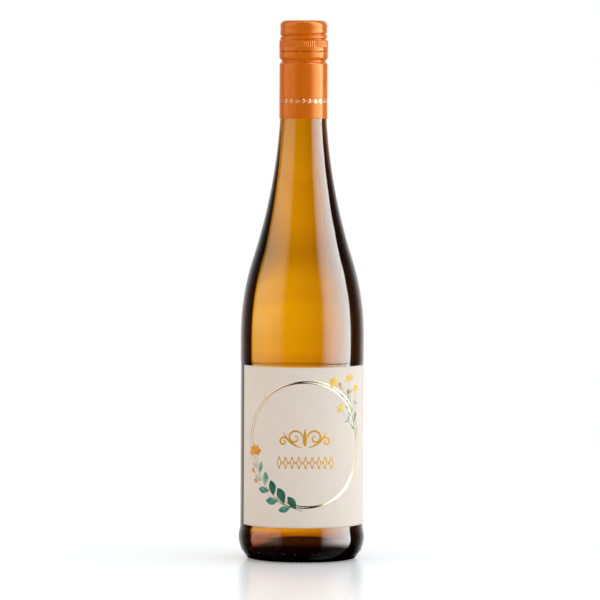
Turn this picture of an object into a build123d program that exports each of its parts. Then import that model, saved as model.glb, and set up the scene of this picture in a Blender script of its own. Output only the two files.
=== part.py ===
from build123d import *

import os
from math import asin, degrees, sqrt

# Tall hock bottle of wine: amber glass, wine, long-skirt aluminium screw cap and
# wrap-round paper label.
#
# Millimetres, +Z up, origin at the centre of the ring that the bottle stands on. The front
# of the label faces -Y. Nearly every surface is turned about the Z axis, so outlines are
# drawn as (radius, height) and revolved. A "drop" is a height measured down from the top
# of the cap, and an angle is measured from +X, counter-clockwise as seen from above.

# ---- glass, outside ----
bottle_height = 329.7
body_radius = 37.8
neck_radius = 13.6            # where the neck runs straight, under the cap
neck_length = 38.7            # straight neck and finish, down from the lip
shoulder_arc_radius = 156.0   # the neck's own arc follows from it
plain_body_height = 15.2      # straight body between the label panel and the shoulder

# ---- base and heel ----
bulge_outset = 0.8            # contact ring just above the heel
bulge_height = 13.5
heel_arc_radius = 18.0
heel_corner_rounding = 3.0
bearing_width = 3.9           # ring that the bottle stands on, before its rounding
bearing_rounding = 1.5
punt_depth = 7.0
stipple_count = 72            # short radial grooves across the bearing ring
stipple_radius = 0.6

# ---- glass, inside ----
body_wall = 2.5
bore_radius = 9.6
base_glass = 4.0              # glass left over the top of the punt
floor_height = 6.0            # of the inside floor where it turns up into the wall
floor_turn_radius = 11.0

# ---- lip and finish, under the cap ----
finish_length = 27.7
finish_clearance = 0.16       # between the finish and the deepest roll of the cap
lip_rounding = 2.05
mouth_rounding = 0.7
lip_margin = 0.15             # flat of the cap left outside the flat of the lip

# ---- label ----
label_bottom = 21.7
label_height = 97.8
label_thickness = 0.15
label_half_angle = 75.4       # wrap either side of its middle
label_middle_angle = -84.0
panel_depth = 0.2             # the panel is sunk by this much, which guards the paper
panel_margin = 1.2            # bare panel above and below the paper
panel_ramp = 1.0

# ---- wine ----
fill_drop = 53.7              # from the lip down to the wine's surface

# ---- screw cap ----
cap_sheet = 0.3
cap_length = 60.0
skirt_clearance = 0.23        # between the skirt's bottom edge and the neck
band_outset = 0.14            # tamper band and knurled band stand out from the skirt
thread_zone_inset = 0.36
ramp_height = 0.5             # between the knurled band and the thread zone
knurl_top_drop = 12.6
knurl_bottom_drop = 16.6
knurl_count = 72
knurl_radius = 0.45
knurl_depth = 0.2
break_line_drop = 19.0        # the line of slits where the cap tears from its skirt
break_line_width = 0.45
bridge_count = 12
bridge_angle = 5.0            # metal left between two slits
roll_groove_drop = 24.8       # groove that grips the glass
roll_groove_depth = 1.3
roll_groove_width = 3.8
thread_drop = 12.5            # middle of the thread's groove at its lower end
thread_pitch = 3.1
thread_sweep = 590.0
thread_start_angle = -140.0
thread_depth = 0.75
thread_width = 1.7

# ---- sizes that follow from those above ----
panel_radius = body_radius - panel_depth
panel_bottom = label_bottom - panel_margin
panel_top = label_bottom + label_height + panel_margin
shoulder_start = panel_top + panel_ramp + plain_body_height
neck_start = bottle_height - neck_length
finish_start = bottle_height - finish_length
wine_level = bottle_height - fill_drop
cap_top = bottle_height + cap_sheet
cap_bottom = cap_top - cap_length
bulge_radius = body_radius + bulge_outset
heel_edge_radius = bulge_radius - heel_arc_radius + sqrt(heel_arc_radius ** 2 - bulge_height ** 2)
bearing_inner_radius = heel_edge_radius - bearing_width
wall_radius = body_radius - body_wall
thread_arc_radius = (thread_width ** 2 / 4 + thread_depth ** 2) / (2 * thread_depth)


def neck_arc_sweep(wide, narrow):
    """Total radius and sweep of the two arcs that take the body's radius in to the neck's."""
    inward = wide - narrow
    rise = neck_start - shoulder_start
    both_radii = (inward ** 2 + rise ** 2) / (2 * inward)
    return both_radii, degrees(asin(rise / both_radii))


def neck_radius_at(height):
    """Outer radius of the hollow arc of the neck at a height."""
    arc_radius = neck_arc_sweep(body_radius, neck_radius)[0] - shoulder_arc_radius
    return neck_radius + arc_radius - sqrt(arc_radius ** 2 - (neck_start - height) ** 2)


skirt_radius = neck_radius_at(cap_bottom) + skirt_clearance + cap_sheet
band_radius = skirt_radius + band_outset
thread_zone_radius = skirt_radius - thread_zone_inset
deepest_roll = max(roll_groove_depth, thread_zone_inset + thread_depth)
finish_radius = skirt_radius - deepest_roll - cap_sheet - finish_clearance
lip_wall = finish_radius - bore_radius
lip_flat_radius = finish_radius - min(lip_rounding, 0.6 * lip_wall)
cap_corner_radius = thread_zone_radius - lip_flat_radius - lip_margin


def straights(*points):
    """Straight edges from each point to the next."""
    return [Line(first, second) for first, second in zip(points, points[1:])]


def shoulder_edges(wide, narrow, lower_radius):
    """The shoulder's swelling arc and the neck's hollow arc, tangent to the straights."""
    both_radii, sweep = neck_arc_sweep(wide, narrow)
    upper_radius = both_radii - lower_radius
    swelling = CenterArc((wide - lower_radius, shoulder_start), lower_radius, 0, sweep)
    hollow = CenterArc((narrow + upper_radius, neck_start), upper_radius, 180 + sweep, -sweep)
    return [swelling, hollow]


def dome_edge(rim_radius, rim_height, rise):
    """Arc of a shallow dome from its top on the axis out to its rim."""
    dome_radius = (rim_radius ** 2 + rise ** 2) / (2 * rise)
    angle = degrees(asin(rim_radius / dome_radius))
    return CenterArc((0, rim_height + rise - dome_radius), dome_radius, 90, -angle)


def turned(edges):
    """Solid of revolution of a closed outline."""
    return revolve(Plane.XZ * make_face(Wire(edges)), Axis.Z)


# ---- bottle ----
def base_edges():
    """Punt, bearing ring, heel, bulge and the run in from it to the label panel."""
    heel_centre = bulge_radius - heel_arc_radius
    heel_sweep = degrees(asin(bulge_height / heel_arc_radius))
    return [
        dome_edge(bearing_inner_radius, 0, punt_depth),
        Line((bearing_inner_radius, 0), (heel_edge_radius, 0)),
        CenterArc((heel_centre, bulge_height), heel_arc_radius, -heel_sweep, heel_sweep),
        Spline((bulge_radius, bulge_height), (panel_radius, panel_bottom), tangents=((0, 1), (0, 1))),
    ]


def body_edges():
    """Sunk label panel and the full body over it."""
    return straights(
        (panel_radius, panel_bottom),
        (panel_radius, panel_top),
        (body_radius, panel_top + panel_ramp),
        (body_radius, shoulder_start),
    )


def finish_edges():
    """Neck under the cap, the lip's flat top and the bore inside it."""
    return straights(
        (neck_radius, neck_start),
        (finish_radius, finish_start),
        (finish_radius, bottle_height),
        (bore_radius, bottle_height),
        (bore_radius, neck_start),
    )


def inside_edges():
    """Inside of the glass, from the middle of its floor up to the straight bore."""
    floor_radius = wall_radius - floor_turn_radius
    wall_foot = (wall_radius, floor_height + floor_turn_radius)
    floor = dome_edge(floor_radius, floor_height, punt_depth + base_glass - floor_height)
    turn = RadiusArc((floor_radius, floor_height), wall_foot, -floor_turn_radius)
    wall = Line(wall_foot, (wall_radius, shoulder_start))
    return [floor, turn, wall] + shoulder_edges(
        wall_radius, bore_radius, shoulder_arc_radius - body_wall
    )


def rounded(outline, radius, height, rounding):
    """The outline with its corner nearest to (radius, height) rounded."""
    place = Vector(radius, height)
    corner = min(outline.vertices(), key=lambda vertex: (Vector(vertex) - place).length)
    return fillet(corner, rounding)


def stipple_grooves():
    """Half-round radial grooves that break up the bearing ring."""
    middle = heel_edge_radius - bearing_width / 2
    groove = Pos(middle, 0, 0) * Rot(0, 90, 0) * Cylinder(stipple_radius, bearing_width)
    return [Rot(0, 0, 360 * n / stipple_count) * groove for n in range(stipple_count)]


def bottle():
    """Hollow glass bottle, standing on its grooved ring."""
    outside = base_edges() + body_edges()
    outside += shoulder_edges(body_radius, neck_radius, shoulder_arc_radius) + finish_edges()
    base_middle = Line((0, punt_depth + base_glass), (0, punt_depth))
    outline = make_face(Wire(outside + inside_edges() + [base_middle]))
    outline = rounded(outline, bearing_inner_radius, 0, bearing_rounding)
    outline = rounded(outline, heel_edge_radius, 0, heel_corner_rounding)
    outline = rounded(outline, finish_radius, bottle_height, finish_radius - lip_flat_radius)
    outline = rounded(outline, bore_radius, bottle_height, min(mouth_rounding, 0.3 * lip_wall))
    return revolve(Plane.XZ * outline, Axis.Z) - stipple_grooves()


# ---- wine and label ----
def wine():
    """All the wine, from the bottle's floor to its surface in the neck."""
    column = straights((bore_radius, neck_start), (0, neck_start), (0, punt_depth + base_glass))
    full = turned(inside_edges() + column)
    return split(full, Plane.XY.offset(wine_level), keep=Keep.BOTTOM)


def label():
    """Paper wrapped round the panel, open at the back."""
    place = Pos(panel_radius + label_thickness / 2, label_bottom + label_height / 2)
    section = Plane.XZ * (place * Rectangle(label_thickness, label_height))
    start = Rot(0, 0, label_middle_angle - label_half_angle)
    return start * revolve(section, Axis.Z, 2 * label_half_angle)


# ---- screw cap ----
def sheet_edges(inset):
    """The cap's side and top from its bottom edge to the axis, moved in by inset."""
    skirt = skirt_radius - inset
    band = band_radius - inset
    zone = thread_zone_radius - inset
    corner = cap_corner_radius - inset
    top = cap_top - inset
    groove = cap_top - roll_groove_drop
    groove_foot = (skirt, groove - roll_groove_width / 2)
    groove_head = (band, groove + roll_groove_width / 2)
    ramp_foot = (band, cap_top - knurl_top_drop)
    ramp_head = (zone, cap_top - knurl_top_drop + ramp_height)
    edges = straights((skirt, cap_bottom), groove_foot)
    edges += [ThreePointArc(groove_foot, (skirt - roll_groove_depth, groove), groove_head)]
    edges += straights(groove_head, ramp_foot, ramp_head, (zone, top - corner))
    edges += [CenterArc((zone - corner, top - corner), corner, 0, 90)]
    return edges + straights((zone - corner, top), (0, top))


def cap_shell():
    """The drawn sheet, before its thread, knurls and slits."""
    hem = Line((skirt_radius - cap_sheet, cap_bottom), (skirt_radius, cap_bottom))
    middle = Line((0, cap_top - cap_sheet), (0, cap_top))
    return turned(sheet_edges(0) + sheet_edges(cap_sheet) + [hem, middle])


def thread_rod(extra):
    """Round-ended helical rod in the thread's groove, thicker than the groove by extra."""
    rod_radius = thread_arc_radius + extra
    path_radius = thread_zone_radius - thread_depth + thread_arc_radius
    path = Helix(thread_pitch, thread_pitch * thread_sweep / 360, path_radius)
    section = Plane(path @ 0, z_dir=path % 0) * Circle(rod_radius)
    ends = [Pos(path @ end) * Sphere(rod_radius) for end in (0, 1)]
    place = Pos(0, 0, cap_top - thread_drop) * Rot(0, 0, thread_start_angle)
    return place * (sweep(section, path) + ends)


def knurl_grooves():
    """Upright flutes round the knurled band."""
    height = knurl_bottom_drop - knurl_top_drop
    place = Pos(band_radius + knurl_radius - knurl_depth, 0, cap_top - knurl_top_drop - height / 2)
    flute = place * Cylinder(knurl_radius, height)
    return [Rot(0, 0, 360 * n / knurl_count) * flute for n in range(knurl_count)]


def break_slits():
    """Slits through the sheet, with a bridge of metal between each two."""
    pitch = 360 / bridge_count
    place = Pos(band_radius, cap_top - break_line_drop)
    section = Plane.XZ * (place * Rectangle(4 * cap_sheet, break_line_width))
    slit = revolve(section, Axis.Z, pitch - bridge_angle)
    return [Rot(0, 0, pitch * n) * slit for n in range(bridge_count)]


def screw_cap():
    """Aluminium cap with its skirt, rolled on over the finish and seated on the lip."""
    zone = Pos(0, 0, cap_top - cap_length / 2) * Cylinder(thread_zone_radius, cap_length)
    shell = cap_shell() + (thread_rod(cap_sheet) & zone) - thread_rod(0)
    return shell - knurl_grooves() - break_slits()


os.makedirs("parts", exist_ok=True)
export_step(bottle(), "parts/bottle.step")
export_step(wine(), "parts/wine.step")
export_step(screw_cap(), "parts/screw_cap.step")
export_step(label(), "parts/label.step")
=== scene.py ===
import math

import bpy
import numpy as np
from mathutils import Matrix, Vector


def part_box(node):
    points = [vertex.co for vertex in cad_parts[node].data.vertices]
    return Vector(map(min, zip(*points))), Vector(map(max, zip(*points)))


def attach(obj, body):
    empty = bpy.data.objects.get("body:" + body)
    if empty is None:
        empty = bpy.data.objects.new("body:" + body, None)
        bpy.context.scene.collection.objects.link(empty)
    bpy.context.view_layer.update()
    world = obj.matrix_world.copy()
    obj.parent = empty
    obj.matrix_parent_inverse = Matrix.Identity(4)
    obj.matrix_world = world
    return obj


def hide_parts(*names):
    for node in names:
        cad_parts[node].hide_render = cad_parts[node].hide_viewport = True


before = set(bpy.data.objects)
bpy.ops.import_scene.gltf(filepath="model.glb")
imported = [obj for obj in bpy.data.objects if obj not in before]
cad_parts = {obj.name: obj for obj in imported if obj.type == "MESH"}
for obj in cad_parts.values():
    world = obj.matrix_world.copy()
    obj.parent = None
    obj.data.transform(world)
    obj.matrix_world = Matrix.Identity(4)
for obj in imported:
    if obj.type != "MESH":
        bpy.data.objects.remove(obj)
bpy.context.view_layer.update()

# Wine bottle: amber glass, wine, long-skirt screw cap and wrap-round label.
# Lengths are millimetres until make_mesh turns them into metres. An azimuth is an angle
# round the bottle from the front (-Y) towards +X, in degrees.

MM = 0.001


def node_box(node):
    """Lowest and highest corner of a CAD node, in millimetres."""
    low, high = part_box(node)
    return np.array(low) / MM, np.array(high) / MM


GLASS_HIGH = node_box("bottle")[1]
WINE_HIGH = node_box("wine")[1]
CAP_LOW, CAP_HIGH = node_box("screw_cap")
LABEL_LOW, LABEL_HIGH = node_box("label")

# ---- glass, as the CAD part has it ----
LIP_TOP = GLASS_HIGH[2]
BULGE_RADIUS = GLASS_HIGH[0]
BODY_RADIUS = BULGE_RADIUS - 0.8
PANEL_RADIUS = BODY_RADIUS - 0.2
NECK_RADIUS = 13.6
FINISH_RADIUS = 13.0
BORE_RADIUS = 9.6
LIP_ROUND = 2.05
BORE_ROUND = 0.7
BODY_WALL = 2.5
SHOULDER_ARC_RADIUS = 156.0
PANEL_BOTTOM = LABEL_LOW[2] - 1.2
PANEL_TOP = LABEL_HIGH[2] + 1.2
SHOULDER_START = PANEL_TOP + 16.2
NECK_START = LIP_TOP - 38.7
FINISH_START = LIP_TOP - 27.7
BULGE_HEIGHT = 13.5
HEEL_ARC_RADIUS = 18.0
BEARING_WIDTH = 3.9
PUNT_DEPTH = 7.0
BASE_GLASS = 4.0
FLOOR_HEIGHT = 6.0
FLOOR_TURN_RADIUS = 11.0
BEARING_LIFT = 0.45        # the bearing ring's inner edge stands this much off the table
STIPPLES = 72
STIPPLE_DEPTH = 0.55
HEEL_EDGE_RADIUS = (
    BULGE_RADIUS - HEEL_ARC_RADIUS + math.sqrt(HEEL_ARC_RADIUS ** 2 - BULGE_HEIGHT ** 2)
)
BEARING_INNER_RADIUS = HEEL_EDGE_RADIUS - BEARING_WIDTH
WALL_RADIUS = BODY_RADIUS - BODY_WALL

# ---- mould dots on the heel: places of the code are counted in steps of azimuth ----
DOT_HEIGHT = 5.4
DOT_RADIUS = 0.55
DOT_RISE = 0.34
DOT_STEP = 5.6
DOT_CODE = (0, 1, 2, 3, 4, 6, 8, 11, 12, 15)
DOT_CODE_STARTS = (-50.4, 69.6, 189.6)

# ---- wine ----
WINE_LEVEL = WINE_HIGH[2]
WINE_REACH = 0.1           # the wine reaches this far into the glass, so no air shows between
MENISCUS = 0.9

# ---- screw cap ----
CAP_TOP = CAP_HIGH[2]
CAP_BOTTOM = CAP_LOW[2]
BAND_RADIUS = CAP_HIGH[0]
SKIRT_RADIUS = BAND_RADIUS - 0.14
THREAD_ZONE_RADIUS = SKIRT_RADIUS - 0.36
CAP_SHEET = 0.3
CAP_CORNER = 3.3
GROOVE_HALF_WIDTH = 1.9
GROOVE_DEPTH = 1.3
KNURL_TOP = CAP_TOP - 12.6
KNURL_BOTTOM = CAP_TOP - 16.6
KNURLS = 72
KNURL_DEPTH = 0.24
BREAK_LINE = CAP_TOP - 19.0
BRIDGES = 12
SLIT_DEPTH = 0.75
ROLL_GROOVE = CAP_TOP - 24.8
THREAD_PITCH = 3.1
THREAD_DEPTH = 0.8
THREAD_HALF_WIDTH = 1.05
THREAD_LOW = CAP_TOP - 12.5
THREAD_FADE = 0.9          # radians
CAP_ORNAMENT_HEIGHT = 280.6
CAP_ORNAMENTS = 24

# ---- label ----
PAPER_RADIUS = PANEL_RADIUS + 0.15
LABEL_MIDDLE = 6.0
LABEL_HALF_ANGLE = 75.4
RING_CENTRE_HEIGHT = 72.4
RING_CENTRE_AZIMUTH = 4.0
RING_RADIUS = 38.0
INK_LIFT = 0.02            # printed ink lies this much proud of the paper
STEM_LIFT = 0.018
PETAL_LIFT = 0.04
FOIL_LIFT = 0.03
PRINT_SINK = 0.04          # the back of every print lies this much inside the surface


# ---------------------------------------------------------------- meshes
def make_mesh(name, points, faces, smooth=True):
    """A mesh object from an array of points in millimetres and a list of face arrays."""
    mesh = bpy.data.meshes.new(name)
    loops = np.concatenate([part.ravel() for part in faces]).astype(np.int32)
    sizes = np.concatenate([np.full(len(part), part.shape[1]) for part in faces])
    starts = np.concatenate([[0], np.cumsum(sizes)[:-1]]).astype(np.int32)
    mesh.vertices.add(len(points))
    mesh.vertices.foreach_set("co", (np.asarray(points) * MM).astype(np.float32).ravel())
    mesh.loops.add(len(loops))
    mesh.loops.foreach_set("vertex_index", loops)
    mesh.polygons.add(len(sizes))
    mesh.polygons.foreach_set("loop_start", starts)
    mesh.polygons.foreach_set("use_smooth", np.full(len(sizes), smooth))
    mesh.update(calc_edges=True)
    mesh.validate()
    piece = bpy.data.objects.new(name, mesh)
    bpy.context.scene.collection.objects.link(piece)
    return piece


def turned_surface(name, radius, height, azimuths, first_pole, last_pole):
    """Closed surface of revolution.

    Point (i, j) is (r sin a, -r cos a, z) with r and z from row i of the outline and the
    azimuth a of column j. The outline runs from pole to pole with the solid on its left.
    """
    sine, cosine = np.sin(azimuths), np.cos(azimuths)
    grid = np.stack([radius * sine, -radius * cosine, height], axis=-1)
    rows, columns = radius.shape
    index = np.arange(rows * columns).reshape(rows, columns)
    after = np.roll(index, -1, axis=1)
    quads = np.stack([index[:-1], after[:-1], after[1:], index[1:]], axis=-1).reshape(-1, 4)
    poles = np.array([[0, 0, first_pole], [0, 0, last_pole]])
    first = np.full(columns, rows * columns)
    start_fan = np.stack([first, after[0], index[0]], axis=-1)
    end_fan = np.stack([first + 1, index[-1], after[-1]], axis=-1)
    points = np.concatenate([grid.reshape(-1, 3), poles])
    return make_mesh(name, points, [quads, start_fan, end_fan])


def full_turn(columns):
    """Evenly spaced azimuths of one full turn, in radians."""
    return np.linspace(0, 2 * np.pi, columns, endpoint=False)


def arc(centre, radius, start, end, count):
    """Points of a circular arc between two angles in degrees, from +radius towards +height."""
    angle = np.radians(np.linspace(start, end, count))
    return np.stack([centre[0] + radius * np.cos(angle), centre[1] + radius * np.sin(angle)], 1)


def line(start, end, count):
    """Evenly spaced points of a straight line."""
    return np.linspace(start, end, count)


def joined(*runs):
    """The runs end to end, each without its last point unless it is the last run."""
    return np.concatenate([run[:-1] for run in runs[:-1]] + [runs[-1]])


def dome(rim_radius, rim_height, rise, count):
    """Points of a shallow dome from just off the axis out to its rim."""
    sphere = (rim_radius ** 2 + rise ** 2) / (2 * rise)
    angle = np.degrees(np.arcsin(rim_radius / sphere))
    return arc((0, rim_height + rise - sphere), sphere, 90 - 0.03 * angle, 90 - angle, count)


def shoulder(wide, narrow, lower_radius, count):
    """The shoulder's swelling arc and the neck's hollow arc, tangent to both straights."""
    inward, rise = wide - narrow, NECK_START - SHOULDER_START
    both = (inward ** 2 + rise ** 2) / (2 * inward)
    upper_radius = both - lower_radius
    sweep = np.degrees(np.arcsin(rise / both))
    return joined(
        arc((wide - lower_radius, SHOULDER_START), lower_radius, 0, sweep, count),
        arc((narrow + upper_radius, NECK_START), upper_radius, 180 + sweep, 180, 2 * count),
    )


def smooth_step(value, low, high):
    """0 below low, 1 above high and a smooth S between them."""
    t = np.clip((value - low) / (high - low), 0, 1)
    return t * t * (3 - 2 * t)


# ---------------------------------------------------------------- glass and wine
def glass_outside():
    """Outline of the outside of the glass, from the middle of the punt up to the lip."""
    heel_centre = (BULGE_RADIUS - HEEL_ARC_RADIUS, BULGE_HEIGHT)
    heel_start = -np.degrees(np.arcsin(BULGE_HEIGHT / HEEL_ARC_RADIUS))
    run_in = np.linspace(0, 1, 12)
    run_in_radius = PANEL_RADIUS + (BULGE_RADIUS - PANEL_RADIUS) * (1 - smooth_step(run_in, 0, 1))
    run_in_height = BULGE_HEIGHT + (PANEL_BOTTOM - BULGE_HEIGHT) * run_in
    lip = (FINISH_RADIUS - LIP_ROUND, LIP_TOP - LIP_ROUND)
    punt_edge = (BEARING_INNER_RADIUS - 0.4, BEARING_LIFT)
    ring_edge = (BEARING_INNER_RADIUS + 0.5, 0.0)
    return joined(
        dome(*punt_edge, PUNT_DEPTH - BEARING_LIFT, 20),
        line(punt_edge, ring_edge, 3),
        line(ring_edge, (HEEL_EDGE_RADIUS - 1.1, 0.0), 6),
        arc(heel_centre, HEEL_ARC_RADIUS, heel_start + 2.5, 0, 24),
        np.stack([run_in_radius, run_in_height], 1),
        line((PANEL_RADIUS, PANEL_BOTTOM), (PANEL_RADIUS, PANEL_TOP), 14),
        line((PANEL_RADIUS, PANEL_TOP), (BODY_RADIUS, PANEL_TOP + 1.0), 4),
        line((BODY_RADIUS, PANEL_TOP + 1.0), (BODY_RADIUS, SHOULDER_START), 4),
        shoulder(BODY_RADIUS, NECK_RADIUS, SHOULDER_ARC_RADIUS, 22),
        line((NECK_RADIUS, NECK_START), (FINISH_RADIUS, FINISH_START), 4),
        line((FINISH_RADIUS, FINISH_START), (FINISH_RADIUS, LIP_TOP - LIP_ROUND), 3),
        arc(lip, LIP_ROUND, 0, 90, 6),
    )


def glass_inside(clearance=0.0):
    """Outline of the inside of the glass, from its floor up to the neck, moved out by clearance."""
    wall = WALL_RADIUS + clearance
    floor_radius = WALL_RADIUS - FLOOR_TURN_RADIUS
    floor_height = FLOOR_HEIGHT - clearance
    rise = PUNT_DEPTH + BASE_GLASS - FLOOR_HEIGHT
    turn_radius = FLOOR_TURN_RADIUS + clearance
    return joined(
        dome(floor_radius, floor_height, rise, 16),
        arc((floor_radius, floor_height + turn_radius), turn_radius, -90, 0, 16),
        line((wall, floor_height + turn_radius), (wall, SHOULDER_START), 12),
        shoulder(wall, BORE_RADIUS + clearance, SHOULDER_ARC_RADIUS - BODY_WALL + clearance, 20),
    )


def stippled(radius, height, azimuths):
    """Lifts the bearing ring into short radial teeth: height grows by a raised cosine."""
    ring = smooth_step(radius, BEARING_INNER_RADIUS - 0.6, BEARING_INNER_RADIUS + 0.6)
    ring = ring * (1 - smooth_step(radius, HEEL_EDGE_RADIUS - 0.4, HEEL_EDGE_RADIUS + 1.8))
    ring = ring * (height < 3.0)
    groove = (0.5 - 0.5 * np.cos(STIPPLES * azimuths)) ** 2
    return height + STIPPLE_DEPTH * ring * groove


def bottle_glass():
    """Whole glass as one closed surface of revolution, outside and inside."""
    mouth = joined(
        line((FINISH_RADIUS - LIP_ROUND, LIP_TOP), (BORE_RADIUS + BORE_ROUND, LIP_TOP), 3),
        line((BORE_RADIUS + BORE_ROUND, LIP_TOP), (BORE_RADIUS, LIP_TOP - BORE_ROUND), 3),
        line((BORE_RADIUS, LIP_TOP - BORE_ROUND), (BORE_RADIUS, NECK_START), 5),
    )
    outline = joined(glass_outside(), mouth, glass_inside()[::-1])
    azimuths = full_turn(360)
    radius = np.repeat(outline[:, :1], len(azimuths), axis=1)
    height = stippled(radius, np.repeat(outline[:, 1:], len(azimuths), axis=1), azimuths)
    return turned_surface(
        "bottle_glass", radius, height, azimuths, PUNT_DEPTH, PUNT_DEPTH + BASE_GLASS
    )


def mould_dots():
    """Row of small raised dots low on the heel, like a mould code but without a meaning.

    Each is a shallow dome, height = rise * (1 - rho ** 2) over the skin, and stands along
    the heel's own normal; its rim and its underside lie inside the glass.
    """
    turns = np.radians(
        [start + DOT_STEP * step for start in DOT_CODE_STARTS for step in DOT_CODE]
    )
    skin = HEEL_ARC_RADIUS - 0.02
    tilt = math.asin((DOT_HEIGHT - BULGE_HEIGHT) / HEEL_ARC_RADIUS)
    reach = BULGE_RADIUS - HEEL_ARC_RADIUS + skin * math.cos(tilt)
    level = BULGE_HEIGHT + skin * math.sin(tilt)
    rings, columns = 5, 12
    rho, phi = np.meshgrid(np.linspace(0.2, 1, rings), full_turn(columns), indexing="ij")
    rise = DOT_RISE * (1 - rho ** 2) - 0.05
    peak, pit = rings * columns, rings * columns + 1
    outward = np.append(rise.ravel(), [0.3, -0.2])
    sideways = np.append((DOT_RADIUS * rho * np.cos(phi)).ravel(), [0, 0])
    upward = np.append((DOT_RADIUS * rho * np.sin(phi)).ravel(), [0, 0])
    radius = reach + outward * math.cos(tilt) - upward * math.sin(tilt)
    height = level + outward * math.sin(tilt) + upward * math.cos(tilt)
    ring = np.arange(rings * columns).reshape(rings, columns)
    after = np.roll(ring, -1, axis=1)
    side = np.stack([ring[:-1], ring[1:], after[1:], after[:-1]], -1).reshape(-1, 4)
    top = np.stack([np.full(columns, peak), ring[0], after[0]], -1)
    under = np.stack([np.full(columns, pit), after[-1], ring[-1]], -1)
    angle = turns[:, None] + sideways / reach
    points = np.stack([radius * np.sin(angle), -radius * np.cos(angle), height + 0 * angle], -1)
    first = np.arange(len(turns))[:, None, None] * (pit + 1)
    faces = [(part + first).reshape(-1, part.shape[1]) for part in (side, top, under)]
    return make_mesh("mould_dots", points.reshape(-1, 3), faces)


def wine_body():
    """The wine: the inside of the glass moved slightly into it, with a shallow meniscus."""
    side = glass_inside(WINE_REACH)
    edge = np.interp(WINE_LEVEL, side[:, 1], side[:, 0])
    side = side[side[:, 1] < WINE_LEVEL - 1]
    ring = np.linspace(1, 0.02, 10)
    top = np.stack([edge * ring, WINE_LEVEL + MENISCUS * (ring ** 8 - 1)], 1)
    outline = np.concatenate([side, top])
    azimuths = full_turn(256)
    radius = np.repeat(outline[:, :1], len(azimuths), axis=1)
    height = np.repeat(outline[:, 1:], len(azimuths), axis=1)
    bottom = PUNT_DEPTH + BASE_GLASS - WINE_REACH
    return turned_surface("wine_fill", radius, height, azimuths, bottom, WINE_LEVEL - MENISCUS)


# ---------------------------------------------------------------- screw cap
def thread_relief(azimuths, height):
    """Depth of the rolled thread.

    A groove of raised-cosine section follows a right-handed helix: its middle lies at
    THREAD_LOW + pitch * turned angle / 360, and its depth fades in and out over 50 degrees.
    """
    start, sweep = np.radians(-50), np.radians(590)
    depth = np.zeros_like(height)
    for turn in range(-1, 3):
        turned = azimuths - start + 2 * np.pi * turn
        middle = THREAD_LOW + THREAD_PITCH * turned / (2 * np.pi)
        fade = smooth_step(turned, 0, THREAD_FADE)
        fade = fade * (1 - smooth_step(turned, sweep - THREAD_FADE, sweep))
        across = np.clip(np.abs(height - middle) / THREAD_HALF_WIDTH, 0, 1)
        depth = np.maximum(depth, THREAD_DEPTH * fade * (0.5 + 0.5 * np.cos(np.pi * across)))
    return depth


def knurl_relief(azimuths, height):
    """Depth of the upright flutes of the knurled band."""
    inside = smooth_step(height, KNURL_BOTTOM, KNURL_BOTTOM + 0.25)
    inside = inside * (1 - smooth_step(height, KNURL_TOP - 0.25, KNURL_TOP))
    flute = (0.5 - 0.5 * np.cos(KNURLS * azimuths)) ** 1.5
    return KNURL_DEPTH * inside * flute


def slit_relief(azimuths, height):
    """Depth of the tear-off slits, which small bridges interrupt."""
    across = 1 - smooth_step(np.abs(height - BREAK_LINE), 0.14, 0.3)
    phase = np.abs((azimuths * BRIDGES / (2 * np.pi) + 0.3) % 1 - 0.5) * 2
    bridge = smooth_step(phase, 0.86, 0.92)
    return SLIT_DEPTH * across * (1 - bridge)


def cap_side():
    """Outline of the outside of the cap from its bottom edge to just off the axis."""
    groove_bottom, groove_top = ROLL_GROOVE - GROOVE_HALF_WIDTH, ROLL_GROOVE + GROOVE_HALF_WIDTH
    groove = np.linspace(groove_bottom, groove_top, 21)
    edge = np.where(groove < ROLL_GROOVE, SKIRT_RADIUS, BAND_RADIUS)
    off_middle = np.clip((groove - ROLL_GROOVE) / GROOVE_HALF_WIDTH, -1, 1)
    dip = (0.5 + 0.5 * np.cos(np.pi * off_middle)) ** 0.7
    groove_radius = edge - (edge - SKIRT_RADIUS + GROOVE_DEPTH) * dip
    corner = (THREAD_ZONE_RADIUS - CAP_CORNER, CAP_TOP - CAP_CORNER)
    thread_rows = np.linspace(KNURL_TOP + 0.5, CAP_TOP - CAP_CORNER, 46)
    waist = 0.15 * np.exp(-(((thread_rows - (CAP_TOP - 5.2)) / 0.7) ** 2))
    return joined(
        arc((SKIRT_RADIUS - 0.15, CAP_BOTTOM + 0.15), 0.15, -90, 0, 4),
        line((SKIRT_RADIUS, CAP_BOTTOM + 0.15), (SKIRT_RADIUS, groove_bottom), 10),
        np.stack([groove_radius, groove], 1),
        line((BAND_RADIUS, groove_top), (BAND_RADIUS, BREAK_LINE - 0.4), 4),
        line((BAND_RADIUS, BREAK_LINE - 0.4), (BAND_RADIUS, BREAK_LINE + 0.4), 13),
        line((BAND_RADIUS, BREAK_LINE + 0.4), (BAND_RADIUS, KNURL_BOTTOM), 4),
        line((BAND_RADIUS, KNURL_BOTTOM), (BAND_RADIUS, KNURL_TOP), 14),
        line((BAND_RADIUS, KNURL_TOP), (THREAD_ZONE_RADIUS, KNURL_TOP + 0.5), 4),
        np.stack([THREAD_ZONE_RADIUS - waist, thread_rows], 1),
        arc(corner, CAP_CORNER, 0, 90, 14),
        line((THREAD_ZONE_RADIUS - CAP_CORNER, CAP_TOP), (0.4, CAP_TOP), 5),
    )


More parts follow.
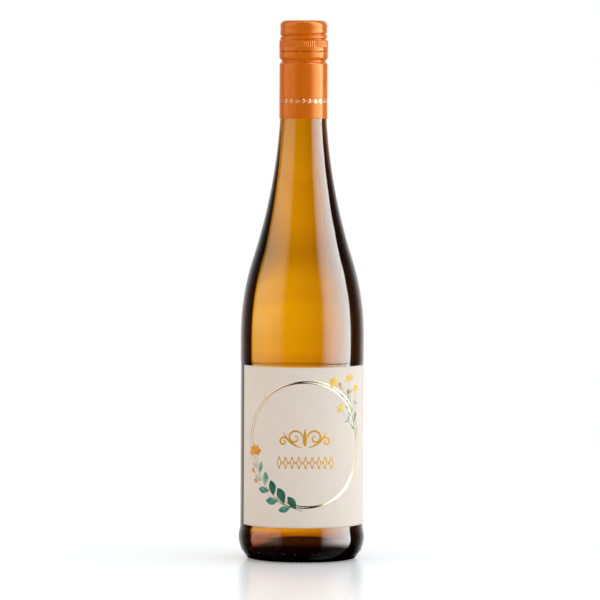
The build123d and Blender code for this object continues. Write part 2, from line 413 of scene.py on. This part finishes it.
def screw_cap():
    """Rolled aluminium cap: thread, knurls and slits are reliefs on its turned outline."""
    outline = cap_side()
    azimuths = full_turn(480)
    radius = np.repeat(outline[:, :1], len(azimuths), axis=1)
    height = np.repeat(outline[:, 1:], len(azimuths), axis=1)
    around = np.broadcast_to(azimuths, radius.shape)
    relief = thread_relief(around, height) * (radius > THREAD_ZONE_RADIUS - 1.5)
    relief = relief + knurl_relief(around, height) + slit_relief(around, height)
    outer_radius = radius - relief
    inside = np.array([
        (0.4, CAP_TOP - CAP_SHEET),
        (THREAD_ZONE_RADIUS - CAP_CORNER, CAP_TOP - CAP_SHEET),
        (FINISH_RADIUS + 0.15, CAP_TOP - CAP_CORNER),
        (FINISH_RADIUS + 0.15, ROLL_GROOVE - 0.5),
        (SKIRT_RADIUS - CAP_SHEET, ROLL_GROOVE - 2.5),
        (SKIRT_RADIUS - CAP_SHEET, CAP_BOTTOM + 0.1),
    ])
    inner_radius = np.repeat(inside[:, :1], len(azimuths), axis=1)
    inner_height = np.repeat(inside[:, 1:], len(azimuths), axis=1)
    return turned_surface(
        "screw_cap_shell",
        np.concatenate([inner_radius, outer_radius]),
        np.concatenate([inner_height, height]),
        azimuths, CAP_TOP - CAP_SHEET, CAP_TOP,
    )


# ---------------------------------------------------------------- label and its print
def wrapped(across, up, radius, surface=PAPER_RADIUS):
    """Place on a cylinder of a point across (arc length on the surface) and up."""
    angle = across / surface
    return np.stack([radius * np.sin(angle), -radius * np.cos(angle), up], axis=-1)


def label_paper():
    """Closed curved sheet: front grid, back grid and the four thin edges between them."""
    half = math.radians(LABEL_HALF_ANGLE) * PAPER_RADIUS
    middle = math.radians(LABEL_MIDDLE) * PAPER_RADIUS
    across, up = np.meshgrid(
        np.linspace(middle - half, middle + half, 161),
        np.linspace(LABEL_LOW[2], LABEL_HIGH[2], 61),
    )
    front = wrapped(across, up, PAPER_RADIUS)
    back = wrapped(across, up, PANEL_RADIUS - 0.03)
    return closed_sheet("label_paper", front, back)


def closed_sheet(name, front, back):
    """Closed mesh of a front grid, a back grid and a strip round their edge."""
    points, faces = sheet_faces(front, back)
    return make_mesh(name, points, [faces])


def sheet_faces(front, back):
    """Points and quads of a front grid, a back grid of the same size and their rim."""
    rows, columns = front.shape[:2]
    index = np.arange(rows * columns).reshape(rows, columns)
    quads = np.stack([index[:-1, :-1], index[:-1, 1:], index[1:, 1:], index[1:, :-1]], -1)
    quads = quads.reshape(-1, 4)
    count = rows * columns
    rim = np.concatenate([index[0, :-1], index[:-1, -1], index[-1, :0:-1], index[:0:-1, 0]])
    following = np.roll(rim, -1)
    edge = np.stack([following, rim, rim + count, following + count], -1)
    points = np.concatenate([front.reshape(-1, 3), back.reshape(-1, 3)])
    return points, np.concatenate([quads, quads[:, ::-1] + count, edge])


def strip(path, half_width, lift, surface=PAPER_RADIUS):
    """Points and quads of a flat band along a path on the paper, or on another surface.

    path is (n, 2) in millimetres across and up; the band runs half_width to each side of
    it, along the path's normal, and its face stands lift above the surface.
    """
    forward = np.gradient(path, axis=0)
    normal = np.stack([-forward[:, 1], forward[:, 0]], 1)
    normal = normal / np.maximum(np.linalg.norm(normal, axis=1, keepdims=True), 1e-9)
    sides = np.linspace(1, -1, 5)[:, None, None]
    flat = path[None] + sides * normal[None] * np.asarray(half_width)[None, :, None]
    front = wrapped(flat[..., 0], flat[..., 1], surface + lift, surface)
    back = wrapped(flat[..., 0], flat[..., 1], surface - PRINT_SINK, surface)
    return sheet_faces(front[::-1], back[::-1])


def printed(name, strips):
    """One mesh of many bands of one ink or foil."""
    points, faces, count = [], [], 0
    for strip_points, strip_faces in strips:
        points.append(strip_points)
        faces.append(strip_faces + count)
        count += len(strip_points)
    return make_mesh(name, np.concatenate(points), [np.concatenate(faces)])


def bent_path(start, heading, length, bend, count=22):
    """Path of even curvature: it leaves start at heading and turns by bend over its length."""
    t = np.linspace(0, 1, count)
    angle = np.radians(heading + bend * t)
    step = length / (count - 1)
    x = np.concatenate([[0], np.cumsum(np.cos(angle[:-1]) * step)])
    y = np.concatenate([[0], np.cumsum(np.sin(angle[:-1]) * step)])
    return np.stack([start[0] + x, start[1] + y], 1)


def leaf(start, heading, length, width, bend=0.0, lift=INK_LIFT, fullness=0.8):
    """Pointed leaf or petal: half-width follows sin(pi t ** fullness) along a bent path."""
    t = np.linspace(0, 1, 22)
    half_width = 0.5 * width * np.sin(np.pi * t ** fullness) ** 0.9 + 0.03
    return strip(bent_path(start, heading, length, bend), half_width, lift)


def brush_stroke(start, end, shift, towards, thin, thick, seed, lift):
    """Turn of the ring drawn with a brush.

    The radius is RING_RADIUS + shift * cos(angle - towards), so that strokes with opposite
    shifts cross twice. The width swells from thin to thick where they cross, its sides are
    a little ragged, and it tapers off at both ends. Angles run anticlockwise from the right.
    """
    t = np.linspace(0, 1, 300)
    degrees = start + (end - start) * t
    angle = np.radians(degrees)
    radius = RING_RADIUS + shift * np.cos(angle - math.radians(towards))
    centre = math.radians(RING_CENTRE_AZIMUTH) * PAPER_RADIUS
    across, up = centre + radius * np.cos(angle), RING_CENTRE_HEIGHT + radius * np.sin(angle)
    path = np.stack([across, up], 1)
    bristles = np.random.default_rng(seed).uniform(0.85, 1.15, 90)
    ragged = np.interp(t, np.linspace(0, 1, 90), bristles)
    crossing = np.abs(np.sin(angle - math.radians(towards))) ** 6
    ends = smooth_step(t, 0, 0.12) * (1 - smooth_step(t, 0.9, 1))
    return strip(path, 0.5 * (thin + (thick - thin) * crossing) * ragged * ends + 0.04, lift)


def along(path, t):
    """Place and heading in degrees at the fraction t of a path."""
    steps = np.linspace(0, 1, len(path))
    back, spot, ahead = (
        np.array([np.interp(place, steps, path[:, k]) for k in (0, 1)])
        for place in (t - 0.02, t, t + 0.02)
    )
    return spot, math.degrees(math.atan2(*(ahead - back)[::-1]))


def blossom(centre, heading, size, petals, lift):
    """Petals in a fan about a heading: each is a leaf that starts at the flower's middle."""
    half_fan = 62
    return [
        leaf(
            centre, heading + turn, size * (1 - 0.12 * abs(turn) / half_fan), size * 0.46,
            0.3 * turn, lift + 0.002 * number, 1.35,
        )
        for number, turn in enumerate(np.linspace(-half_fan, half_fan, petals))
    ]


def lozenge(centre, width, height, thick, lift, surface=PAPER_RADIUS):
    """Outline of a lozenge in four strokes."""
    corners = np.array([[width, 0], [0, height], [-width, 0], [0, -height]]) / 2 + centre
    return [
        strip(line(corners[k], corners[(k + 1) % 4], 5), np.full(5, thick / 2), lift, surface)
        for k in range(4)
    ]


def spiral(centre, radius, turns, start, hand, thick, lift):
    """Scroll end: the radius shrinks evenly to 0 over the turns, hand is +1 or -1."""
    t = np.linspace(0, 1, 90)
    angle = np.radians(start) + hand * 2 * np.pi * turns * t
    reach = radius * (1 - t) ** 0.8
    path = np.stack([centre[0] + reach * np.cos(angle), centre[1] + reach * np.sin(angle)], 1)
    return strip(path, 0.5 * thick * (0.35 + 0.65 * np.sin(np.pi * t ** 0.6)), lift)


def scroll_ornament(middle, lift):
    """Two mirrored scrolls with a drop between them, where a title would stand."""
    strips = []
    for side in (-1, 1):
        for reach, radius, height in ((6.2, 4.8, 0.8), (13.2, 3.0, -1.6)):
            start = 180 if side > 0 else 0
            centre = (middle[0] + side * reach, middle[1] + height)
            strips.append(spiral(centre, radius, 1.35, start, -side, 1.2, lift))
        foot = (middle[0] + side * 1.4, middle[1] - 5.4)
        sweep = bent_path(foot, 90 - side * 78, 16.5, side * 58)
        strips.append(strip(sweep, 0.6 * np.sin(np.pi * np.linspace(0, 1, 22)) + 0.06, lift))
    drop = (middle[0], middle[1] - 4.6)
    strips.append(leaf(drop, 90, 11.0, 2.6, lift=lift, fullness=0.7))
    return strips


def lozenge_row(middle, lift):
    """Row of tall lozenges with a small one between each two."""
    pitch = 4.1
    strips = []
    for number in range(-4, 5):
        centre = np.array([middle[0] + pitch * number, middle[1]])
        strips += lozenge(centre, 2.5, 7.4, 0.62, lift)
        if number < 4:
            strips += lozenge(centre + (pitch / 2, 0), 0.45, 1.3, 0.45, lift)
    return strips


# ---------------------------------------------------------------- garlands of the label
def garland(branch, thick, leaves):
    """Strips by ink of a branch and its leaves.

    Each leaf is (place on the branch, side, length, width, ink), and side +1 is the left.
    """
    inks = {"stem": [strip(branch, np.linspace(*thick, len(branch)), STEM_LIFT)]}
    for number, (t, side, length, width, ink) in enumerate(leaves):
        spot, heading = along(branch, t)
        blade = leaf(
            spot, heading + side * 46, length, width, -side * 18, INK_LIFT + 0.001 * number, 1.2
        )
        inks.setdefault(ink, []).append(blade)
    return inks


def twig_with_bud(inks, start, heading, length, bend, size, ink):
    """Thin twig with a bud at its end."""
    path = bent_path(start, heading, length, bend)
    inks["stem"].append(strip(path, np.linspace(0.2, 0.1, len(path)), STEM_LIFT))
    tip, way = along(path, 0.98)
    inks.setdefault(ink, []).append(leaf(tip, way, size, size * 0.62, 0, PETAL_LIFT, 1.25))


def lower_garland():
    """Long branch that follows the ring's lower left, with broad leaves, buds and a flower."""
    branch = bent_path((0.5, 32.2), 166, 50.0, -68)
    inks = garland(branch, (0.3, 0.15), [
        (0.08, -1, 9.2, 4.6, "fern"), (0.15, 1, 8.0, 4.0, "teal"),
        (0.24, -1, 10.6, 5.4, "fern"), (0.32, 1, 9.0, 4.6, "teal"),
        (0.41, -1, 9.6, 4.8, "fern"), (0.49, 1, 8.2, 4.0, "teal"),
        (0.58, -1, 8.4, 3.8, "sage"), (0.65, 1, 6.8, 3.0, "pale_sage"),
        (0.75, -1, 7.2, 3.0, "sage"), (0.82, 1, 5.4, 2.2, "pale_sage"),
    ])
    buds = [(0.52, 1, 9.0, 3.6), (0.66, 1, 7.5, 4.0), (0.84, -1, 6.0, 3.2)]
    for t, side, length, size in buds:
        spot, heading = along(branch, t)
        twig_with_bud(inks, spot, heading + side * 34, length, -side * 20, size, "marigold")
    spot, heading = along(branch, 0.99)
    inks["marigold"] += blossom(spot, heading, 6.6, 5, 0.045)
    return inks


def upper_garland():
    """Airy branch at the ring's upper right: slim leaves, flowers on long twigs and buds."""
    branch = bent_path((40.6, 73.0), 98, 42.0, 42)
    inks = garland(branch, (0.26, 0.12), [
        (0.10, -1, 5.2, 1.2, "pale_sage"), (0.18, 1, 5.6, 1.3, "sage"),
        (0.30, -1, 6.6, 1.8, "teal"), (0.40, 1, 5.4, 1.4, "pale_sage"),
        (0.52, 1, 5.2, 1.3, "sage"), (0.64, -1, 5.0, 1.3, "pale_sage"),
        (0.74, 1, 4.8, 1.2, "sage"), (0.86, -1, 4.4, 1.1, "pale_sage"),
    ])
    flowers = [(0.16, 1, 19.0, 4.8), (0.34, -1, 18.0, 4.6), (0.56, -1, 16.0, 5.0)]
    for t, side, length, size in flowers:
        spot, heading = along(branch, t)
        twig = bent_path(spot, heading + side * 40, length, -side * 22)
        inks["stem"].append(strip(twig, np.linspace(0.18, 0.1, len(twig)), STEM_LIFT))
        tip, way = along(twig, 0.98)
        inks.setdefault("buttercup", []).extend(blossom(tip, way, size, 4, PETAL_LIFT))
        middle, way = along(twig, 0.5)
        inks["sage"].append(leaf(middle, way - side * 44, 4.0, 1.0, side * 12, 0.022, 1.2))
        inks["pale_sage"].append(leaf(middle, way + side * 44, 3.6, 0.9, -side * 12, 0.022, 1.2))
    spot, heading = along(branch, 0.99)
    inks["buttercup"] += blossom(spot, heading, 5.4, 5, PETAL_LIFT)
    for t, side, length in ((0.44, -1, 12.0), (0.72, -1, 7.5)):
        spot, heading = along(branch, t)
        twig_with_bud(inks, spot, heading + side * 20, length, -side * 22, 3.4, "marigold")
    return inks


# ---------------------------------------------------------------- materials
# Pattern scales are counts per metre. Real fibres, mica flakes and rolling lines are finer
# than a picture of the whole bottle can show, so they are drawn coarser.
FIBRE_SCALE = 900.0        # clumps of about 1 mm
MOTTLE_SCALE = 120.0       # clouds of about 8 mm
MICA_SCALE = 700.0         # specks of about 1.5 mm
POOL_SCALE = 260.0         # pools of ink of about 4 mm
LINES_SCALE = (400.0, 400.0, 9000.0)   # fine lines round the cap, 0.1 mm high


def tone(code):
    """Linear RGBA of an sRGB hex colour."""
    values = [int(code[i:i + 2], 16) / 255 for i in (0, 2, 4)]
    linear = [v / 12.92 if v <= 0.04045 else ((v + 0.055) / 1.055) ** 2.4 for v in values]
    return (*linear, 1.0)


def new_material(name):
    """Empty node material and its tree."""
    material = bpy.data.materials.new(name)
    material.use_nodes = True
    material.node_tree.nodes.clear()
    return material, material.node_tree


def add(tree, kind, settings=None, **inputs):
    """Adds a node, sets its settings, and fills or links its inputs by name.

    An input named _0, _1 and so on is meant by its number. A socket as value is linked.
    """
    node = tree.nodes.new(kind)
    for key, value in (settings or {}).items():
        setattr(node, key, value)
    for key, value in inputs.items():
        socket = node.inputs[int(key[1:])] if key[0] == "_" else node.inputs[key.replace("_", " ")]
        if isinstance(value, bpy.types.NodeSocket):
            tree.links.new(value, socket)
        else:
            socket.default_value = value
    return node


def finish_material(tree, surface, volume=None):
    """Links a surface, and a volume if there is one, to the output."""
    output = add(tree, "ShaderNodeOutputMaterial", Surface=surface)
    if volume is not None:
        tree.links.new(volume, output.inputs["Volume"])


def two_tones(tree, pattern, low, first, high, second):
    """Colour ramp over a pattern: the first tone up to low, the second from high on."""
    ramp = add(tree, "ShaderNodeValToRGB", Fac=pattern)
    stops = ramp.color_ramp.elements
    stops[0].position, stops[1].position = low, high
    stops[0].color, stops[1].color = tone(first), tone(second)
    return ramp


def clear_body(name, ior, absorption, density, shade):
    """Glass or liquid: a polished refracting surface, an absorbing volume and a tinted shadow."""
    material, tree = new_material(name)
    body = add(
        tree, "ShaderNodeBsdfPrincipled",
        Base_Color=(1, 1, 1, 1), Roughness=0.0, IOR=ior, Transmission_Weight=1.0,
    )
    tinted = add(tree, "ShaderNodeBsdfTransparent", Color=shade)
    path = add(tree, "ShaderNodeLightPath")
    surface = add(
        tree, "ShaderNodeMixShader",
        Fac=path.outputs["Is Shadow Ray"], _1=body.outputs[0], _2=tinted.outputs[0],
    )
    volume = add(tree, "ShaderNodeVolumeAbsorption", Color=absorption, Density=density)
    finish_material(tree, surface.outputs[0], volume.outputs[0])
    return material


def amber_glass():
    """Amber soda-lime glass, blown: polished skin, colour deepens fast where it is thick."""
    return clear_body(
        "amber_soda_lime_glass", 1.5, (0.9, 0.8, 0.0, 1), 1000.0, (0.75, 0.5, 0.25, 1)
    )


def white_wine():
    """White wine: clear pale gold liquid that adds little colour of its own."""
    return clear_body(
        "pale_gold_wine", 1.34, (0.967, 0.817, 0.0, 1), 30.0, (0.95, 0.9, 0.75, 1)
    )


def lacquered_aluminium():
    """Aluminium with a baked orange lacquer: satin, warm, with soft bright flanks."""
    material, tree = new_material("orange_lacquered_aluminium")
    place = add(tree, "ShaderNodeTexCoord")
    drawn = add(
        tree, "ShaderNodeMapping", Vector=place.outputs["Object"], Scale=LINES_SCALE
    )
    lines = add(tree, "ShaderNodeTexNoise", Vector=drawn.outputs[0], Scale=1.0, Detail=3.0)
    rough = add(tree, "ShaderNodeMapRange", Value=lines.outputs[0], To_Min=0.22, To_Max=0.28)
    bump = add(tree, "ShaderNodeBump", Strength=0.05, Distance=0.0002, Height=lines.outputs[0])
    lacquer = add(
        tree, "ShaderNodeBsdfPrincipled",
        Base_Color=tone("D96804"), Roughness=rough.outputs[0], Normal=bump.outputs[0],
        Specular_IOR_Level=0.6, Specular_Tint=(1.0, 0.75, 0.35, 1.0),
    )
    finish_material(tree, lacquer.outputs[0])
    return material


def wove_paper():
    """Uncoated cream label stock: matte, faintly fibrous and mottled."""
    material, tree = new_material("cream_wove_label_paper")
    place = add(tree, "ShaderNodeTexCoord")
    fibre = add(
        tree, "ShaderNodeTexNoise", Vector=place.outputs["Object"], Scale=FIBRE_SCALE, Detail=4.0
    )
    mottle = add(
        tree, "ShaderNodeTexNoise", Vector=place.outputs["Object"], Scale=MOTTLE_SCALE, Detail=2.0
    )
    both = add(
        tree, "ShaderNodeMix", {"data_type": "FLOAT"},
        Factor=0.35, _2=fibre.outputs[0], _3=mottle.outputs[0],
    )
    colour = two_tones(tree, both.outputs[0], 0.3, "EADACC", 0.7, "F0E2D5")
    bump = add(tree, "ShaderNodeBump", Strength=0.25, Distance=0.0001, Height=fibre.outputs[0])
    paper = add(
        tree, "ShaderNodeBsdfPrincipled",
        Base_Color=colour.outputs[0], Roughness=0.8, Specular_IOR_Level=0.15,
        Normal=bump.outputs[0],
    )
    finish_material(tree, paper.outputs[0])
    return material


# Pale and deep tone of each ink of the garlands.
INKS = {
    "fern": ("3E7A63", "1F5A48"),
    "teal": ("5C9C8A", "2F7566"),
    "sage": ("93B7A0", "6A9A86"),
    "pale_sage": ("C3CDB8", "A3B9A2"),
    "stem": ("B4B79B", "8E9C84"),
    "marigold": ("F3B04A", "DB8A2A"),
    "buttercup": ("FCE596", "F3C54E"),
}


def bronze_ink():
    """Bronze ink with a little mica: orange gold that brightens towards the light."""
    material, tree = new_material("orange_bronze_ink")
    place = add(tree, "ShaderNodeTexCoord")
    mica = add(
        tree, "ShaderNodeTexNoise", Vector=place.outputs["Object"], Scale=MICA_SCALE, Detail=2.0
    )
    rough = add(tree, "ShaderNodeMapRange", Value=mica.outputs[0], To_Min=0.35, To_Max=0.55)
    ink = add(
        tree, "ShaderNodeBsdfPrincipled",
        Base_Color=tone("DDA02E"), Metallic=0.15, Roughness=rough.outputs[0],
        Specular_Tint=(1.0, 0.85, 0.5, 1.0),
    )
    finish_material(tree, ink.outputs[0])
    return material


def hot_foil(name, code, roughness):
    """Hot-stamped metallic foil: a thin mirror that turns dark or pale with the room."""
    material, tree = new_material(name)
    foil = add(
        tree, "ShaderNodeBsdfPrincipled",
        Base_Color=tone(code), Metallic=1.0, Roughness=roughness,
    )
    finish_material(tree, foil.outputs[0])
    return material


def washed_ink(name, pale, deep):
    """Offset ink printed like watercolour: one hue pooled between a pale and a deep tone."""
    material, tree = new_material(name)
    place = add(tree, "ShaderNodeTexCoord")
    pools = add(
        tree, "ShaderNodeTexNoise", Vector=place.outputs["Object"], Scale=POOL_SCALE, Detail=3.0
    )
    colour = two_tones(tree, pools.outputs[0], 0.35, deep, 0.65, pale)
    ink = add(
        tree, "ShaderNodeBsdfPrincipled",
        Base_Color=colour.outputs[0], Roughness=0.75, Specular_IOR_Level=0.15,
    )
    finish_material(tree, ink.outputs[0])
    return material


def dress(piece, material, node):
    """Gives a piece its finish, hangs it under the root body and hides the CAD node it stands for.
    """
    piece.data.materials.append(material)
    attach(piece, "root")
    if node is not None:
        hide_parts(node)


# ---------------------------------------------------------------- build the bottle
def build_bottle():
    """Glass, wine, cap and label, each standing for its CAD node."""
    glass = amber_glass()
    dress(bottle_glass(), glass, "bottle")
    dress(mould_dots(), glass, None)
    dress(wine_body(), white_wine(), "wine")
    dress(screw_cap(), lacquered_aluminium(), "screw_cap")
    dress(label_paper(), wove_paper(), "label")


def build_ring():
    """Two brush strokes of pale gold foil that cross and close a ring."""
    strokes = [
        brush_stroke(222, 592, 1.3, 22, 0.34, 0.8, 1, FOIL_LIFT),
        brush_stroke(208, 556, -1.2, 22, 0.32, 0.7, 2, FOIL_LIFT + 0.006),
    ]
    ring = printed("foil_ring", strokes)
    dress(ring, hot_foil("pale_gold_hot_foil", "E2C69A", 0.2), None)


def build_title():
    """Ornaments in orange gold in the middle of the ring."""
    strips = scroll_ornament((2.0, 76.0), FOIL_LIFT) + lozenge_row((2.4, 61.5), FOIL_LIFT)
    dress(printed("gold_ornaments", strips), bronze_ink(), None)


def build_garlands():
    """One piece for each ink of the two garlands."""
    inks = {}
    for part in (lower_garland(), upper_garland()):
        for ink, strips in part.items():
            inks.setdefault(ink, []).extend(strips)
    for ink, tones in INKS.items():
        material = washed_ink("washed_ink_" + ink, *tones)
        dress(printed("print_" + ink, inks[ink]), material, None)


def build_cap_band():
    """Band of small lozenges and dots stamped round the lower skirt."""
    strips = []
    pitch = 2 * np.pi * SKIRT_RADIUS / CAP_ORNAMENTS
    for number in range(CAP_ORNAMENTS):
        centre = np.array([pitch * number, CAP_ORNAMENT_HEIGHT])
        strips += lozenge(centre, 1.5, 2.7, 0.34, FOIL_LIFT, SKIRT_RADIUS)
        strips += lozenge(centre + (pitch / 2, 0), 0.3, 0.3, 0.3, FOIL_LIFT, SKIRT_RADIUS)
    band = printed("cap_foil_band", strips)
    dress(band, hot_foil("silver_gold_hot_foil", "F2DDBB", 0.2), None)


build_bottle()
build_ring()
build_title()
build_garlands()
build_cap_band()


# ---------------------------------------------------------------- floor, light and camera
def stage_disc(name, radius, height, material):
    """Flat round stage piece that faces up."""
    azimuths = full_turn(128)
    rim = np.stack(
        [radius * np.sin(azimuths), -radius * np.cos(azimuths), height + 0 * azimuths], 1
    )
    disc = make_mesh(name, rim, [np.arange(128)[None]], smooth=False)
    disc.data.materials.append(material)


def white_acrylic():
    """Satin white table top: it glows a little, and glass and foil look through it."""
    material, tree = new_material("white_satin_acrylic")
    path = add(tree, "ShaderNodeLightPath")
    glow = add(
        tree, "ShaderNodeMath", {"operation": "MULTIPLY"},
        _0=path.outputs["Is Camera Ray"], _1=0.16,
    )
    surface = add(
        tree, "ShaderNodeBsdfPrincipled",
        Base_Color=tone("F6F6F6"), Roughness=0.22, Specular_IOR_Level=0.6,
        Emission_Color=(1, 1, 1, 1), Emission_Strength=glow.outputs[0],
    )
    unseen = add(tree, "ShaderNodeBsdfTransparent")
    indirect = add(
        tree, "ShaderNodeMath", {"operation": "MAXIMUM"},
        _0=path.outputs["Is Transmission Ray"], _1=path.outputs["Is Glossy Ray"],
    )
    through = add(
        tree, "ShaderNodeMixShader",
        Fac=indirect.outputs[0], _1=surface.outputs[0], _2=unseen.outputs[0],
    )
    finish_material(tree, through.outputs[0])
    return material


def painted_contact_shadow():
    """Dull black sheet of painted shadow under the bottle: keeps the thick base dark."""
    material, tree = new_material("painted_contact_shadow")
    felt = add(tree, "ShaderNodeBsdfDiffuse", Color=tone("0A0A0A"))
    finish_material(tree, felt.outputs[0])
    return material


def stage_floor():
    """White table top, and under it a black spot of painted shadow that only shows through the
    bottle's base.
    """
    stage_disc("studio_floor", 900, 0, white_acrylic())
    # the black disc is painted shadow under the bottle, seen only through the glass
    stage_disc("studio_contact_shade", 35, -0.5, painted_contact_shadow())


def band_light(tree, coordinate, levels):
    """Light that changes with an angle: levels lists (degrees, brightness or RGB) pairs.

    The coordinate is 0 at -180 degrees and 1 at 180. Each stop is made at its own place,
    because moving a stop afterwards would change the order of the stops.
    """
    ramp = add(tree, "ShaderNodeValToRGB", Fac=coordinate)
    stops = ramp.color_ramp.elements
    colours = [np.broadcast_to(np.array(level, float), 3) for _, level in levels]
    highest = max(colour.max() for colour in colours)
    for (angle, _), colour in zip(levels, colours):
        position = (angle + 180) / 360
        stop = stops[-1] if position == 1 else stops[0] if position == 0 else stops.new(position)
        stop.color = (*(colour / highest), 1)
    return scaled_light(tree, ramp.outputs[0], (highest, highest, highest))


def scaled_light(tree, light, factor):
    """Light times a factor, which is a colour or another light."""
    return add(
        tree, "ShaderNodeVectorMath", {"operation": "MULTIPLY"}, _0=light, _1=factor
    ).outputs[0]


def studio_world():
    """White studio: a lit backdrop, dark gaps beside it and a tall softbox on each side.

    Azimuth 0 is the camera's side and 180 the backdrop; slope is the height of a direction
    over the horizon. Mirrored rays, rays that passed through glass and scattered rays each
    have their own panels, as black and white cards round a real set give them.
    """
    world = bpy.data.worlds.new("studio")
    bpy.context.scene.world = world
    world.use_nodes = True
    tree = world.node_tree
    tree.nodes.clear()
    direction = add(tree, "ShaderNodeTexCoord").outputs["Generated"]
    split = add(tree, "ShaderNodeSeparateXYZ", Vector=direction)
    toward = add(tree, "ShaderNodeMath", {"operation": "MULTIPLY"}, _0=split.outputs["Y"], _1=-1.0)
    angle = add(
        tree, "ShaderNodeMath", {"operation": "ARCTAN2"},
        _0=split.outputs["X"], _1=toward.outputs[0],
    )
    azimuth = add(
        tree, "ShaderNodeMapRange",
        Value=angle.outputs[0], From_Min=-math.pi, From_Max=math.pi,
    ).outputs[0]
    rise = add(tree, "ShaderNodeMath", {"operation": "ARCSINE"}, _0=split.outputs["Z"])
    slope = add(
        tree, "ShaderNodeMapRange",
        Value=rise.outputs[0], From_Min=-math.pi, From_Max=math.pi,
    ).outputs[0]
    mirrored = band_light(tree, azimuth, [
        (-180, 0.85), (-152, 0.72), (-145, 0.6), (-139, 0.38), (-134, 0.26), (-129, 0.14),
        (-120, 0.04), (-106, 0.02), (-104, 1.3), (-60, 1.05), (-44, 0.85), (-33, 0.02),
        (36, 0.02), (46, 4.0), (60, 7.0), (90, 11.5), (102, 12.5), (104, 0.02),
        (120, 0.04), (129, 0.14), (134, 0.26), (139, 0.38), (145, 0.6), (152, 0.85), (180, 0.85),
    ])
    # the panels end over the table, and the left one is brighter towards its top
    standing = band_light(tree, slope, [
        (-180, 0.02), (-27, 0.02), (-19, 0.4), (-11, 1.0), (180, 1.0),
    ])
    mirrored = scaled_light(tree, mirrored, standing)
    left_side = band_light(tree, azimuth, [
        (-180, 0.0), (-104, 0.0), (-100, 1.0), (-40, 1.0), (-33, 0.0), (180, 0.0),
    ])
    taller = band_light(tree, slope, [
        (-180, 0.0), (-3, 0.0), (-1, 0.35), (12, 0.6), (30, 1.0), (180, 1.0),
    ])
    mirrored = add(
        tree, "ShaderNodeVectorMath", {"operation": "MULTIPLY_ADD"},
        _0=scaled_light(tree, left_side, taller), _1=mirrored, _2=mirrored,
    ).outputs[0]
    passed = band_light(tree, azimuth, [
        (-180, (1.56, 1.46, 1.4)), (-170, (1.32, 1.18, 1.1)), (-166, (1.05, 0.92, 0.8)),
        (-160, (0.62, 0.54, 0.5)), (-154, (0.14, 0.12, 0.1)), (-150, (0.06, 0.03, 0.01)),
        (-118, (0.06, 0.03, 0.01)), (-114, 1.1), (-64, 1.1), (-60, 0.02), (-42, 0.02), (-38, 1.1),
        (38, 1.1), (42, 0.02), (60, 0.02), (64, 1.1), (114, 1.1), (118, (0.06, 0.03, 0.01)),
        (146.5, (0.06, 0.03, 0.01)), (147.5, (1.88, 2.0, 1.7)), (160, (1.92, 2.0, 1.7)),
        (170, (1.76, 1.74, 1.5)), (180, (1.56, 1.46, 1.4)),
    ])
    # thick glass and the base look dark, because little light comes from far up or low down
    depth = band_light(tree, slope, [
        (-180, 0.6), (-52, 0.6), (-38, 0.12), (-26, 0.015), (-18, 0.3), (-14, (0.62, 0.54, 0.48)),
        (-10.8, (0.88, 0.84, 0.8)), (-8.4, (0.86, 0.8, 0.78)), (-7, (0.96, 0.94, 0.94)),
        (-4.6, (0.86, 0.83, 0.8)), (-3, (0.84, 0.8, 0.78)), (-2.2, (0.78, 0.66, 0.6)),
        (2, (0.76, 0.64, 0.6)), (7, 0.2), (14, 0.03), (180, 0.03),
    ])
    # seen from high up, the light through the glass comes evenly from all sides
    even = band_light(tree, slope, [(-180, 1.0), (-30, 1.0), (-23, 0.0), (180, 0.0)])
    passed = add(
        tree, "ShaderNodeMix", {"data_type": "RGBA"}, Factor=even, _6=passed, _7=(1.1, 1.1, 1.1, 1)
    ).outputs[2]
    passed = scaled_light(tree, passed, depth)
    spread = band_light(tree, azimuth, [
        (-180, 0.9), (-120, 0.9), (-75, (1.04, 0.98, 0.93)), (-20, (0.57, 0.56, 0.54)),
        (20, (0.64, 0.68, 0.7)), (75, (1.36, 1.52, 1.64)), (130, (1.26, 1.34, 1.4)), (180, 0.9),
    ])
    path = add(tree, "ShaderNodeLightPath")
    colour = spread
    for kind, value in [
        ("Is Glossy Ray", mirrored),
        ("Is Transmission Ray", passed),
        ("Is Camera Ray", (1, 1, 1, 1)),
    ]:
        colour = add(
            tree, "ShaderNodeMix", {"data_type": "RGBA"},
            Factor=path.outputs[kind], _6=colour, _7=value,
        ).outputs[2]
    light = add(tree, "ShaderNodeBackground", Color=colour, Strength=1.0)
    add(tree, "ShaderNodeOutputWorld", Surface=light.outputs[0])


def stand_camera():
    """Long lens, a little above the bottle's middle, tipped slightly down at it."""
    data = bpy.data.cameras.new("camera")
    data.lens = 274.0
    data.sensor_width = 36.0
    data.clip_end = 20.0
    camera = bpy.data.objects.new("camera", data)
    bpy.context.scene.collection.objects.link(camera)
    distance, height, aim_height, aside = 2.8, 0.2907, 0.1587, -0.0015
    camera.location = (aside, -distance, height)
    aim = Vector((aside, 0, aim_height)) - camera.location
    turn = aim.to_track_quat("-Z", "Y").to_euler()
    turn.rotate_axis("Z", math.radians(0.29))
    camera.rotation_euler = turn
    bpy.context.scene.camera = camera


stage_floor()
studio_world()
stand_camera()
bpy.context.scene.view_settings.view_transform = "Standard"
bpy.context.scene.cycles.transmission_bounces = 16
bpy.context.scene.cycles.max_bounces = 20
